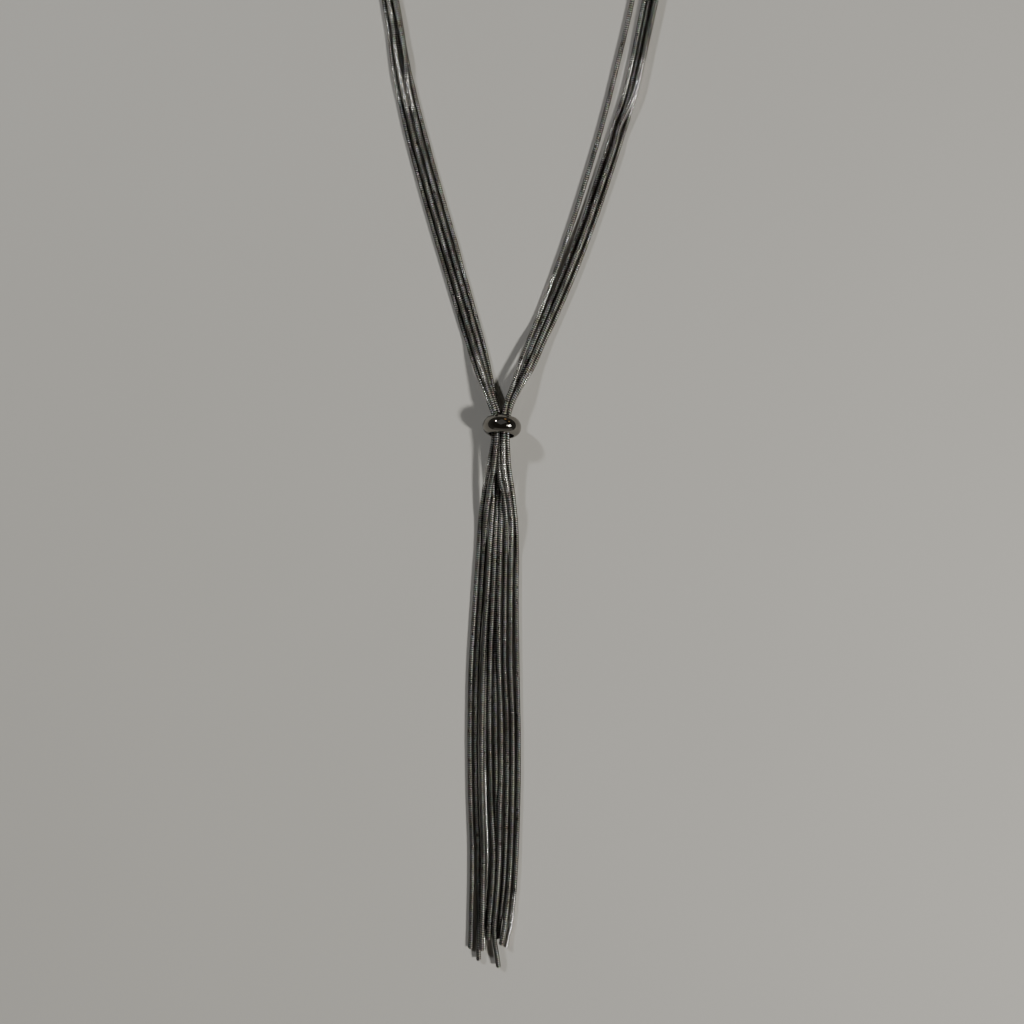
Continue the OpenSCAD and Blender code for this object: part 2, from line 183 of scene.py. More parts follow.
def rhodium_snake_chain():
    """Grey metal, patchy, with painted shade in its seams, painted sheen and glints, and rubbed smooth in
    places.
    """
    material, tree, shader = new_material("rhodium_plated_snake_chain_tumbled")
    spot = add_node(tree, "ShaderNodeTexCoord").outputs["Object"]
    # The plating is a little warmer or cooler in patches about three bands long
    patches = add_node(tree, "ShaderNodeTexNoise", _0=spot, Scale=1 / (PATCH * MM), Detail=2.0)
    tint = ramp(tree, patches.outputs["Fac"], (0.35, "#76716a"), (0.65, "#868785"))
    # Streaks along the tassel are painted brighter or less bright, as sheen that changes along a chain
    across = 1 / (STREAK_WIDTH * MM)
    grid = add_node(tree, "ShaderNodeMapping", _0=spot, Scale=(across, 1 / (STREAK_LENGTH * MM), across))
    streak_rub_and_sheen = add_node(tree, "ShaderNodeTexNoise", _0=grid.outputs["Vector"], Scale=1.0, Detail=1.0)
    shine = remap(tree, streak_rub_and_sheen.outputs["Fac"], 0.3, 0.7, 0.6, 1.6)
    # The loop is painted brighter than the tassel, as painted light for the highlights it catches
    along = add_node(tree, "ShaderNodeSeparateXYZ", _0=spot)
    loop_wear_and_sheen = remap(tree, along.outputs["Y"], at(0, -WEAR_AND_SHEEN_START)[1], at(0, -WEAR_AND_SHEEN_FULL)[1], TASSEL_WEAR_AND_SHEEN, 1.0)
    loop_sheen = remap(tree, loop_wear_and_sheen, TASSEL_WEAR_AND_SHEEN, 1.0, 0.9, 1.4)
    light = product(tree, shine, loop_sheen)
    rubbed_and_sheen = add_node(tree, "ShaderNodeVectorMath", {"operation": "SCALE"}, _0=tint, Scale=light)
    # Each band came out of tumbling more or less bright
    bands = add_node(tree, "ShaderNodeTexVoronoi", _0=spot, Scale=1 / (BAND_LENGTH * MM))
    banded_sheen = mix_colour(tree, 0.22, rubbed_and_sheen.outputs["Vector"], bands.outputs["Color"], "MULTIPLY")
    # A few stretches get a painted glint: their colour goes towards near white where the chain is marked as
    # rubbed smooth
    flash = add_node(tree, "ShaderNodeAttribute", {"attribute_name": "rubbed_and_sheen"}).outputs["Fac"]
    bright = mix_colour(tree, flash, banded_sheen, linear("#e4e2de"))
    # The seams between the bands get painted shade, a little less where a glint is painted
    seam = add_node(tree, "ShaderNodeAttribute", {"attribute_name": "seam"}).outputs["Fac"]
    depth = product(tree, seam, remap(tree, flash, 0.0, 1.0, 1.0, 0.8))
    tree.links.new(mix_colour(tree, depth, bright, linear("#060606")), shader.inputs["Base Color"])
    shader.inputs["Metallic"].default_value = 1.0
    # Tumbling leaves fine dints. The best rubbed streaks, the stretches and some bands are smoother
    dints = add_node(tree, "ShaderNodeTexNoise", _0=spot, Scale=1 / (DINT * MM), Detail=2.0)
    rough = remap(tree, dints.outputs["Fac"], 0.0, 1.0, 0.4, 0.54)
    even = product(tree, remap(tree, streak_rub_and_sheen.outputs["Fac"], 0.58, 0.68, 0.0, 1.0), loop_wear_and_sheen)
    rubs = add_node(tree, "ShaderNodeMix", Factor=even, A=rough, B=0.27)
    slick = add_node(tree, "ShaderNodeMix", Factor=flash, A=rubs.outputs["Result"], B=0.18)
    draw = add_node(tree, "ShaderNodeSeparateXYZ", _0=bands.outputs["Color"])
    smooth = add_node(tree, "ShaderNodeMath", {"operation": "GREATER_THAN"},
                      _0=draw.outputs["X"], _1=SMOOTH_BANDS)
    glint = add_node(tree, "ShaderNodeMix", Factor=smooth.outputs["Value"], A=slick.outputs["Result"], B=0.2)
    tree.links.new(glint.outputs["Result"], shader.inputs["Roughness"])
    bump = add_node(tree, "ShaderNodeBump", Strength=1.0, Distance=DINT_DEPTH * MM,
                    Height=dints.outputs["Fac"])
    tree.links.new(bump.outputs["Normal"], shader.inputs["Normal"])
    return material


CHAIN_METAL = rhodium_snake_chain()
print("chain metal:", CHAIN_METAL.name)

# %% [markdown]
# The chains' routes are those of the construction. Two tables say where each chain lies across
# the tassel and across the neck. They aren't free choices: most of their places were traced on
# the photograph, turned into millimetres by a program and rounded. Some were then moved, and
# where a chain is hidden they were chosen. A row gives a distance from the slider's middle and
# then the ten places in millimetres, first the five chains of the left side and then the five
# of the right.

# %% Tables of the chains' places
TASSEL = [
    #  down     L1     L2     L3     L4     L5     R1     R2     R3     R4     R5
    [    0,  -1.70, -1.05, -0.55, -0.60, -1.25,  0.35,  0.00,  0.60,  1.20,  1.20],
    [  2.1,  -1.70, -1.05, -0.55, -0.65, -1.30,  0.30, -0.05,  0.55,  1.10,  1.10],
    [    5,  -2.10, -1.30, -0.60, -1.00, -1.60,  0.30, -0.15,  0.45,  1.20,  1.05],
    [  7.5,  -2.65, -1.60, -0.70, -1.30, -1.90,  0.35, -0.30,  0.30,  1.35,  0.90],
    [   10,  -3.15, -1.95, -0.55, -1.50, -2.00,  0.60, -0.50,  0.10,  1.65,  0.65],
    [   13,  -3.70, -2.55,  0.05, -1.60, -1.95,  1.15, -0.75, -0.20,  2.10,  0.30],
    [ 14.5,  -3.90, -2.75,  0.35, -1.60, -1.95,  1.40, -0.85, -0.30,  2.30,  0.10],
    [   16,  -4.15, -3.00,  0.55, -1.60, -1.95,  1.60, -0.95, -0.45,  2.45, -0.05],
    [   20,  -4.60, -3.45,  0.85, -1.80, -2.25,  1.95, -1.25, -0.65,  2.85, -0.25],
    [   25,  -4.95, -3.80,  0.75, -2.05, -2.60,  1.90, -1.50, -0.90,  3.05, -0.40],
    [   30,  -5.30, -4.15,  0.65, -2.25, -2.85,  1.85, -1.70, -1.10,  3.05, -0.55],
    [   36,  -5.70, -4.50,  0.55, -2.60, -3.20,  1.80, -1.95, -1.35,  3.00, -0.65],
    [   42,  -6.10, -4.90,  0.50, -3.05, -3.60,  1.75, -2.25, -1.45,  3.05, -0.75],
    [   48,  -6.45, -5.25,  0.45, -3.40, -3.90,  1.75, -2.50, -1.50,  3.15, -0.70],
    [   54,  -6.70, -5.50,  0.65, -3.65, -4.10,  1.90, -2.65, -1.55,  3.25, -0.55],
    [   60,  -6.80, -5.60,  0.95, -3.75, -4.25,  2.15, -2.70, -1.50,  3.35, -0.30],
    [   66,  -6.85, -5.65,  1.05, -3.80, -4.35,  2.25, -2.65, -1.45,  3.45, -0.20],
    [   72,  -6.80, -5.60,  1.05, -3.75, -4.35,  2.25, -2.55, -1.35,  3.45, -0.20],
    [   78,  -6.70, -5.50,  0.95, -3.60, -4.25,  2.15, -2.40, -1.30,  3.35, -0.40],
    [   84,  -6.50, -5.30,  0.80, -3.40, -4.10,  2.00, -2.10, -1.25,  3.20, -0.60],
    [   90,  -6.35, -5.05,  0.60, -3.20, -3.95,  1.80, -1.85, -1.25,  3.00, -0.60],
    [   94,  -6.35, -5.00,  0.40, -3.25, -4.00,  1.60, -1.95, -1.40,  2.80, -0.80],
    [   98,  -6.40, -4.95,  0.10, -3.40, -4.05,  1.30, -2.20, -1.65,  2.55, -1.05],
    [  102,  -6.50, -4.90, -0.30, -3.60, -4.10,  0.90, -2.55, -1.95,  2.20, -1.40],
    [  105,  -6.55, -4.90, -0.60, -3.75, -4.20,  0.50, -2.75, -2.10,  1.80, -1.65],
    [  108,  -6.65, -4.90, -0.95, -3.90, -4.25, -0.10, -2.90, -2.20,  1.10, -1.60],
    [  111,  -6.75, -4.95, -1.25, -4.00, -4.30, -0.60, -3.00, -2.30,  0.60, -1.10],
    [  114,  -6.80, -4.95, -1.50, -4.05, -4.30, -1.00, -3.10, -2.40,  0.20, -0.75],
]

NECK = [
    #    up      L1      L2      L3      L4      L5      R1      R2      R3      R4      R5
    [    0,   -1.70,  -1.05,  -0.55,  -0.60,  -1.25,   0.35,   0.00,   0.60,   1.20,   1.20],
    [  2.1,   -1.75,  -1.15,  -0.55,  -0.60,  -1.25,   0.40,   0.05,   0.65,   1.30,   1.30],
    [    5,   -2.60,  -2.00,  -1.45,  -1.15,  -1.90,   0.95,   0.95,   1.60,   2.05,   2.20],
    [    8,   -3.80,  -3.00,  -2.35,  -1.85,  -2.80,   2.05,   2.60,   3.20,   3.50,   3.70],
    [   11,   -5.00,  -4.00,  -3.20,  -2.50,  -3.60,   3.00,   4.10,   4.80,   4.90,   5.50],
    [   14,   -6.05,  -4.95,  -4.00,  -3.10,  -4.40,   4.00,   5.20,   6.00,   6.25,   7.05],
    [   18,   -7.30,  -6.15,  -5.05,  -4.05,  -5.60,   5.50,   6.70,   7.60,   7.95,   8.75],
    [   22,   -8.55,  -7.35,  -6.20,  -5.15,  -6.75,   7.10,   8.40,   9.50,   9.65,  10.70],
    [   27,  -10.05,  -8.85,  -7.65,  -6.55,  -8.25,   9.00,  10.50,  11.70,  11.85,  12.90],
    [   33,  -11.85, -10.65,  -9.45,  -8.25, -10.05,  11.25,  13.05,  14.25,  14.30,  15.45],
    [   39,  -13.65, -12.40, -11.15,  -9.85, -11.75,  13.35,  15.40,  16.60,  16.70,  17.80],
    [   45,  -15.40, -14.15, -12.90, -11.60, -13.50,  15.35,  17.60,  18.80,  18.85,  20.00],
    [   51,  -17.10, -15.85, -14.60, -13.30, -15.20,  17.25,  19.60,  20.80,  20.90,  22.00],
    [   57,  -18.70, -17.50, -16.30, -15.00, -16.90,  19.10,  21.55,  22.75,  22.95,  23.95],
    [   60,  -19.50, -18.30, -17.10, -15.80, -17.70,  20.00,  22.50,  23.70,  23.90,  24.90],
    [   63,  -20.25, -19.05, -17.80, -16.60, -18.40,  20.85,  23.45,  24.65,  24.60,  25.85],
    [   66,  -20.90, -19.75, -18.55, -17.40, -19.10,  21.65,  24.40,  25.60,  26.00,  26.80],
    [   69,  -21.55, -20.40, -19.25, -18.15, -19.80,  22.45,  25.35,  26.55,  27.35,  27.75],
    [   72,  -22.25, -21.05, -19.90, -18.85, -20.50,  23.20,  26.20,  27.40,  28.40,  28.60],
    [   75,  -22.80, -21.65, -20.20, -19.60, -20.95,  23.90,  26.90,  28.10,  29.10,  29.30],
    [   78,  -23.20, -22.20, -20.40, -20.20, -21.40,  24.65,  27.55,  28.75,  29.75,  29.95],
    [   81,  -23.55, -22.60, -20.90, -20.75, -21.90,  25.40,  28.15,  29.35,  30.35,  30.55],
    [   84,  -23.90, -22.95, -21.50, -21.20, -22.35,  26.10,  28.75,  29.95,  31.00,  31.20],
    [   87,  -24.45, -23.35, -22.00, -21.70, -22.85,  26.80,  29.35,  30.55,  31.70,  31.85],
    [ 90.5,  -25.00, -24.00, -22.70, -22.30, -23.50,  27.55,  30.05,  31.25,  32.45,  32.60],
]

# Length of each chain below the slider's middle, in the order of the columns
TASSEL_ENDS = [110.0, 112.3, 108.0, 110.4, 109.8, 108.6, 107.8, 107.0, 109.8, 113.7]
# Columns in the order in which the chains lie on each other, lowest first. The lower tassel
# has settled in an order of its own, from TIP_FROM down
ORDER = [3, 7, 6, 4, 9, 0, 8, 2, 1, 5]
TIP_ORDER = [3, 7, 0, 1, 2, 8, 6, 4, 9, 5]
TIP_FROM = 36
print("rows of places:", len(TASSEL), "in the tassel and", len(NECK), "on the neck")

# %% [markdown]
# A curve through the rows gives a chain's place at any distance. It is level where a column
# turns back, so that it never swings past a row.

# %% Places between the rows
ROW_STEP = 5


def rise(table, column, row):
    """Slope of the straight line from one row of a column to the next."""
    return (table[row + 1][column] - table[row][column]) / (table[row + 1][0] - table[row][0])


def slope(table, column, row):
    """Slope of the curve at a row: that of its two sides, or none where the column turns back."""
    if row == 0:
        return rise(table, column, 0)
    if row == len(table) - 1:
        return rise(table, column, row - 1)
    before = rise(table, column, row - 1)
    after = rise(table, column, row)
    return 0.0 if before * after <= 0 else 2 * before * after / (before + after)


def place(table, column, y):
    """A chain's place across, in mm, at the distance y from the slider's middle."""
    row = max([r for r in range(len(table) - 1) if table[r][0] <= y], default=0)
    h = table[row + 1][0] - table[row][0]
    u = (y - table[row][0]) / h
    turn = 3 * u * u - 2 * u * u * u
    bend = (u - 2 * u * u + u * u * u) * slope(table, column, row)
    bend += (u * u * u - u * u) * slope(table, column, row + 1)
    return (1 - turn) * table[row][column] + turn * table[row + 1][column] + h * bend


def sections(table):
    """Distances of the sections: each row, and one more between rows that are far apart."""
    ys = []
    for row, after in zip(table, table[1:]):
        ys.append(row[0])
        if after[0] - row[0] > ROW_STEP:
            ys.append((row[0] + after[0]) / 2)
    return ys + [table[-1][0]]


def places(table, ys):
    """Every chain's places across at the distances ys."""
    return [[place(table, column, y) for y in ys] for column in range(1, 11)]


tassel_ys = sections(TASSEL)
neck_ys = sections(NECK)
print("sections:", len(tassel_ys), "in the tassel and", len(neck_ys), "on the neck")

# %% [markdown]
# The chains are then laid one by one. Each lies on its bed, or on the chains that lie there
# already, as high as its own thickness asks, and comes down no steeper than a chain falls.
# The bed is the table, and within the slider it is the lower side of the slider's bore.

# %% Heights of the chains
# How far a chain comes down over each mm of its run, once nothing holds it up
CHAIN_FALL = 0.2
# A chain's middle line lies half way across the flats of its eight-sided solid
CAD_SIDES = 8
LIE = CHAIN_R * math.cos(math.pi / CAD_SIDES)
# The slider: its width, its length, its bore, how it is turned and lifted, and its rim's wall
BEAD_D = 8.1
BEAD_LEN = 3.7
BEAD_BORE = 5.3
BEAD_TURN = math.radians(-5)
BEAD_LIFT = math.radians(9.5)
BEAD_RIM = 0.2
dome_rise = BEAD_D / 2 - BEAD_BORE / 2 - BEAD_RIM
# The dome is an arc of this radius, and the slider's middle is this high
DOME_R = (BEAD_LEN ** 2 / 4 + dome_rise ** 2) / (2 * dome_rise)
BEAD_MID = (BEAD_D / 2 - DOME_R) * math.cos(BEAD_LIFT) + DOME_R
# How far from the bore's middle a chain in it can lie, and how far along the bore holds it
SEAT_R = BEAD_BORE / 2 - CHAIN_R - 2 * CHAIN_GAP
HELD = BEAD_LEN / 2 + 0.4
# A chain's end still carries what lies on it for this far past the end
CARRY = 3


def bed(x, y, way):
    """Height of the bed's middle line. way is 1 above the slider's middle and -1 below it."""
    if y > HELD:
        return LIE
    off = x + way * y * math.tan(BEAD_TURN)
    return BEAD_MID - way * y * math.tan(BEAD_LIFT) - math.sqrt(SEAT_R ** 2 - off ** 2)


def lean(xs, ys, k):
    """How far askew a chain runs at section k, the steeper of its two sides."""
    near = range(max(k - 1, 0), min(k, len(ys) - 2) + 1)
    return max(abs((xs[m + 1] - xs[m]) / (ys[m + 1] - ys[m])) for m in near)


def lay(xs, ys, beds, order):
    """Heights of each column at the sections ys, laid in that order."""
    done = {}
    for c in order:
        raw = list(beds[c])
        for j, under in done.items():
            for k, y in enumerate(ys):
                skew = (lean(xs[c], ys, k) + lean(xs[j], ys, k)) / 2
                gap = abs(xs[c][k] - xs[j][k]) / math.sqrt(1 + skew ** 2)
                if gap < PITCH and y <= TASSEL_ENDS[j] + CARRY:
                    raw[k] = max(raw[k], under[k] + math.sqrt(PITCH ** 2 - gap ** 2))
        done[c] = [max(h - CHAIN_FALL * abs(s - y) for h, s in zip(raw, ys)) for y in ys]
    return done


tip = len([y for y in tassel_ys if y < TIP_FROM])
tassel_xs = places(TASSEL, tassel_ys)
neck_xs = places(NECK, neck_ys)
top_xs = [xs[:tip + 1] for xs in tassel_xs]
top_ys = tassel_ys[:tip + 1]
tip_xs = [xs[tip:] for xs in tassel_xs]
tip_ys = tassel_ys[tip:]
top_beds = [[bed(x, y, -1) for x, y in zip(xs, top_ys)] for xs in top_xs]
neck_beds = [[bed(x, y, 1) for x, y in zip(xs, neck_ys)] for xs in neck_xs]
top_laid = lay(top_xs, top_ys, top_beds, ORDER)
tip_laid = lay(tip_xs, tip_ys, [[LIE] * len(tip_ys)] * 10, TIP_ORDER)
neck_laid = lay(neck_xs, neck_ys, neck_beds, ORDER)
tassel_zs = [top_laid[c][:tip] + tip_laid[c] for c in range(10)]
print("highest chain, mm:", round(max(max(zs) for zs in tassel_zs + list(neck_laid.values())), 2))

# %% [markdown]
# The photograph ends above the neck's table. From there the loop goes the plain way round, as
# in the construction: each side runs straight on while its chains spread into one flat band,
# and then takes one arc to the clasp at the back of the neck. Side 0 is the left one.

# %% The stretch past the photograph's edge
# From the neck table's end to the middle of the arc, in mm
LOOP_RISE = 74
CLASP_LEN = 15
CLASP_W = 8
CLASP_H = 3.2
# Each side's place across and its lean at the end of the table, and which way it leans
SIDE_X = [-23.7, 30.1]
SIDE_LEAN = [math.radians(10.8), math.radians(12.4)]
SIDE_WAY = [-1, 1]
# Each chain's place in the flat band, counted in chains from the band's middle
BAND = [-2, -1, 1, 2, 0, -2, -1, 0, 1, 2]
# Sections of the straight run, as parts of its length, and of the arc
RUN = [0.07, 0.14, 0.21, 0.29, 0.39, 0.55, 0.75, 1]
ARC_SECTIONS = 7
# From this part of the arc on, the chains climb to the clasp's slots
CLIMB_FROM = 0.55
# The arc ends this far before the clasp, and the chains end this far inside it
MOUTH_GAP = 1
CHAIN_IN = 2.6
neck_end = neck_ys[-1]
half_gap = CLASP_LEN / 2 + MOUTH_GAP
cosines = [math.cos(a) for a in SIDE_LEAN]
sines = [math.sin(a) for a in SIDE_LEAN]
left_mid_x = SIDE_X[0] * cosines[0] + (SIDE_X[1] - 2 * half_gap) * cosines[1]
left_mid_x = (left_mid_x + LOOP_RISE * (sines[1] - sines[0])) / (cosines[0] + cosines[1])
ARC_MID_X = [left_mid_x, left_mid_x + 2 * half_gap]
ARC_MID_Y = neck_end + LOOP_RISE
ARC_R = (ARC_MID_X[0] - SIDE_X[0]) * cosines[0] + LOOP_RISE * sines[0]
CLASP_X = sum(ARC_MID_X) / 2
CLASP_Y = ARC_MID_Y + ARC_R


def ease(u):
    """0 to 1, with a soft start and a soft stop."""
    u = min(max(u, 0.0), 1.0)
    return u * u * (3 - 2 * u)


def run_length(side):
    """Length of one side's straight run."""
    across = SIDE_WAY[side] * (ARC_MID_X[side] - SIDE_X[side])
    return across * sines[side] + LOOP_RISE * cosines[side]


def run_laid(side):
    """Distances, places across and heights of one side's straight run."""
    ss = [0.0] + [part * run_length(side) for part in RUN]
    starts = [(neck_xs[c][-1] - SIDE_X[side]) * cosines[side] for c in range(10)]
    us = [[u0 + (BAND[c] * PITCH - u0) * ease(s / ss[-1]) for s in ss] for c, u0 in enumerate(starts)]
    order = [c for c in ORDER if c // 5 == side]
    return ss, us, lay(us, ss, [[LIE] * len(ss)] * 10, order)


runs = [run_laid(0), run_laid(1)]
# A section nearer than this to a chain's cut end is left out, in mm
END_ROOM = 0.8


def route(c):
    """The middle line of the chain in column c, from its cut end to the clasp, in mm."""
    end = TASSEL_ENDS[c]
    k = max(m for m in range(len(tassel_ys) - 1) if tassel_ys[m] <= end)
    u = (end - tassel_ys[k]) / (tassel_ys[k + 1] - tassel_ys[k])
    zs = tassel_zs[c]
    points = [(place(TASSEL, c + 1, end), -end, zs[k] + u * (zs[k + 1] - zs[k]))]
    for m in reversed(range(len(tassel_ys))):
        if tassel_ys[m] < end - END_ROOM:
            points.append((tassel_xs[c][m], -tassel_ys[m], zs[m]))
    points += list(zip(neck_xs[c], neck_ys, neck_laid[c]))[1:]
    side = c // 5
    way = SIDE_WAY[side]
    ss, us, laid = runs[side]
    for s, u, z in list(zip(ss, us[c], laid[c]))[1:]:
        x = SIDE_X[side] + way * s * sines[side] + u * cosines[side]
        points.append((x, neck_end + s * cosines[side] - way * u * sines[side], z))
    r = ARC_R + way * BAND[c] * PITCH
    for step in range(1, ARC_SECTIONS + 1):
        part = step / ARC_SECTIONS
        turn = math.pi / 2 - way * (math.pi / 2 + SIDE_LEAN[side]) * (1 - part)
        z = LIE + (CLASP_H / 2 - LIE) * ease((part - CLIMB_FROM) / (1 - CLIMB_FROM))
        points.append((ARC_MID_X[side] + r * math.cos(turn), ARC_MID_Y + r * math.sin(turn), z))
    points.append((ARC_MID_X[side] - way * (MOUTH_GAP + CHAIN_IN), ARC_MID_Y + r, CLASP_H / 2))
    return points


routes = [route(c) for c in range(10)]
print("points a route:", [len(points) for points in routes])

# %% [markdown]
# Round pieces are turned, as on a lathe: a circle is pushed along X and made wider or
# narrower, step by step. The same function makes one link of chain and the slider.

# %% A lathe
def only(piece):
    """Makes piece the one selected and active object."""
    bpy.ops.object.select_all(action="DESELECT")
    piece.select_set(True)
    bpy.context.view_layer.objects.active = piece


def turned(name, sides, profile):
    """A tube about X through the profile's (along, radius) pairs, in mm."""
    along, radius = profile[0]
    bpy.ops.object.select_all(action="DESELECT")
    bpy.ops.mesh.primitive_circle_add(
        vertices=sides, radius=radius * MM, location=(along * MM, 0, 0), rotation=(0, math.pi / 2, 0))
    piece = bpy.context.object
    piece.name = name
    bpy.ops.object.transform_apply(location=True, rotation=True, scale=True)
    bpy.ops.object.mode_set(mode="EDIT")
    bpy.ops.mesh.select_all(action="SELECT")
    for new_along, new_radius in profile[1:]:
        push = ((new_along - along) * MM, 0, 0)
        bpy.ops.mesh.extrude_region_move(TRANSFORM_OT_translate={"value": push})
        grow = new_radius / radius
        bpy.ops.transform.resize(value=(1, grow, grow), center_override=(new_along * MM, 0, 0))
        along = new_along
        radius = new_radius
    bpy.ops.object.mode_set(mode="OBJECT")
    return piece


def finish_piece(piece, material, angle):
    """Merges doubles, turns the faces outward, shades smooth up to angle degrees, sets the finish."""
    only(piece)
    bpy.ops.object.mode_set(mode="EDIT")
    bpy.ops.mesh.select_all(action="SELECT")
    bpy.ops.mesh.remove_doubles(threshold=0.001 * MM)
    bpy.ops.mesh.normals_make_consistent(inside=False)
    bpy.ops.object.mode_set(mode="OBJECT")
    bpy.ops.object.shade_smooth_by_angle(angle=math.radians(angle))
    piece.data.materials.clear()
    piece.data.materials.append(material)


print("lathe ready")

# %% [markdown]
# One link of snake chain is a short band. It bulges a little in its middle, its edges dip
# into the seam to the next one, and it is bent to and fro twice around the tube, so that each
# link sits in the waves of the last. The seam is marked in an attribute that the finish reads,
# to paint shade into it.

# %% One link
# Length of a link, its sides, and how far its edges wave to and fro, in mm
LINK = 0.467
LINK_SIDES = 12
LINK_WAVE = 0.08
# Radius at parts of the link's length, and how much that place belongs to the seam, where shade is painted
LINK_FORM = [(0.0, 0.42, 1.0), (0.14, 0.50, 0.9), (0.35, 0.55, 0.0),
             (0.65, 0.55, 0.0), (0.86, 0.50, 0.9), (1.0, 0.42, 1.0)]
link = turned("link", LINK_SIDES, [(part * LINK, radius) for part, radius, dark in LINK_FORM])
seam = link.data.attributes.new("seam", "FLOAT", "POINT")
for vertex in link.data.vertices:
    nearest = min(LINK_FORM, key=lambda row: abs(row[0] * LINK * MM - vertex.co.x))
    seam.data[vertex.index].value = nearest[2]


def wave_link():
    """Bends the link's edges to and fro twice around the tube."""
    only(link)
    for part in range(LINK_SIDES):
        turn = 2 * math.pi * part / LINK_SIDES
        bpy.ops.object.mode_set(mode="EDIT")
        bpy.ops.mesh.select_all(action="DESELECT")
        bpy.ops.object.mode_set(mode="OBJECT")
        for vertex in link.data.vertices:
            away = (math.atan2(vertex.co.z, vertex.co.y) - turn) % (2 * math.pi)
            vertex.select = min(away, 2 * math.pi - away) < math.pi / LINK_SIDES
        bpy.ops.object.mode_set(mode="EDIT")
        bpy.ops.transform.translate(value=(LINK_WAVE * MM * math.cos(2 * turn), 0, 0))
        bpy.ops.object.mode_set(mode="OBJECT")


wave_link()
print("one link:", len(link.data.polygons), "faces")

# %% [markdown]
# A chain is one link repeated by an Array along X, closed at its two cut ends, and then bent
# along its route by a Curve modifier. The count makes the chain as long as the route.

# %% The ten chains
# A cut end: the hole's depth in mm, and its width as a part of the rim's
CUT_IN = 0.45
CUT_HOLE = 0.6
# Each chain is turned on its middle line by this much more than the one before, in radians
ROLL_STEP = 0.65
# Steps of the guide curve between two points of a route
CURVE_STEPS = 6
# Faces of a chain that meet at less than this, in degrees, shade as one
CHAIN_SMOOTH = 42
# Stretches rubbed smooth that also get a painted glint, in mm up or (minus) down from the slider's
# middle. They follow the glints in the photograph.
RUBBED_AND_GLINT = {
    "strand_left_1": [(84, 87), (70, 75), (6.5, 8.5), (-11.5, -8)],
    "strand_left_2": [(87, 90), (68, 79), (11, 13.5)],
    "strand_left_3": [(68, 73), (-9, -2.5)],
    "strand_left_4": [(-100, -74), (-111, -107)],
    "strand_left_5": [(58, 73)],
    "strand_right_1": [(25, 31), (10, 12.5), (-12, -5)],
    "strand_right_2": [(71, 77), (58, 62)],
    "strand_right_4": [(68, 76), (-109, -100)],
    "strand_right_5": [(67, 77), (5.5, 10)],
}
# Such a stretch fades out over this length, in mm
RUB_FADE = 2.0


def guide(name, points):
    """A smooth curve through the route's points."""
    curve = bpy.data.curves.new(name, "CURVE")
    curve.dimensions = "3D"
    curve.twist_mode = "Z_UP"
    curve.resolution_u = CURVE_STEPS
    spline = curve.splines.new("BEZIER")
    spline.bezier_points.add(len(points) - 1)
    for point, co in zip(spline.bezier_points, points):
        point.co = at(*co)
        point.handle_left_type = "AUTO"
        point.handle_right_type = "AUTO"
    line = bpy.data.objects.new(name, curve)
    bpy.context.scene.collection.objects.link(line)
    bpy.context.view_layer.update()
    return line, spline.calc_length()


def close_end(piece, at_end, way):
    """Closes the end of a straight chain at x = at_end, in metres, with a shallow hole."""
    bpy.ops.object.mode_set(mode="EDIT")
    bpy.ops.mesh.select_mode(type="EDGE")
    bpy.ops.mesh.select_all(action="DESELECT")
    bpy.ops.mesh.select_non_manifold(extend=False, use_boundary=True, use_wire=False,
                                     use_multi_face=False, use_non_contiguous=False, use_verts=False)
    bpy.ops.object.mode_set(mode="OBJECT")
    # Only the rim at this end stays selected
    mesh = piece.data
    for edge in mesh.edges:
        if edge.select and abs(mesh.vertices[edge.vertices[0]].co.x - at_end) > LINK * MM:
            edge.select = False
    bpy.ops.object.mode_set(mode="EDIT")
    bpy.ops.mesh.extrude_edges_move()
    bpy.ops.transform.resize(value=(CUT_HOLE / 2, CUT_HOLE, CUT_HOLE), center_override=(at_end, 0, 0))
    bpy.ops.mesh.extrude_edges_move(TRANSFORM_OT_translate={"value": (way * CUT_IN * MM, 0, 0)})
    bpy.ops.mesh.edge_face_add()
    bpy.ops.object.mode_set(mode="OBJECT")


def mark_rubbed_and_glint(piece, stretches):
    """Marks how far each place of a chain is rubbed smooth and painted with a glint, from 0 to 1, for the
    finish to read.
    """
    rubbed_and_sheen = piece.data.attributes.new("rubbed_and_sheen", "FLOAT", "POINT")
    for vertex in piece.data.vertices:
        y = (vertex.co.y - BEAD_Y) / MM
        inside = max([min(y - start, end - y) for start, end in stretches], default=-RUB_FADE)
        rubbed_and_sheen.data[vertex.index].value = min(max(inside / RUB_FADE + 1, 0.0), 1.0)


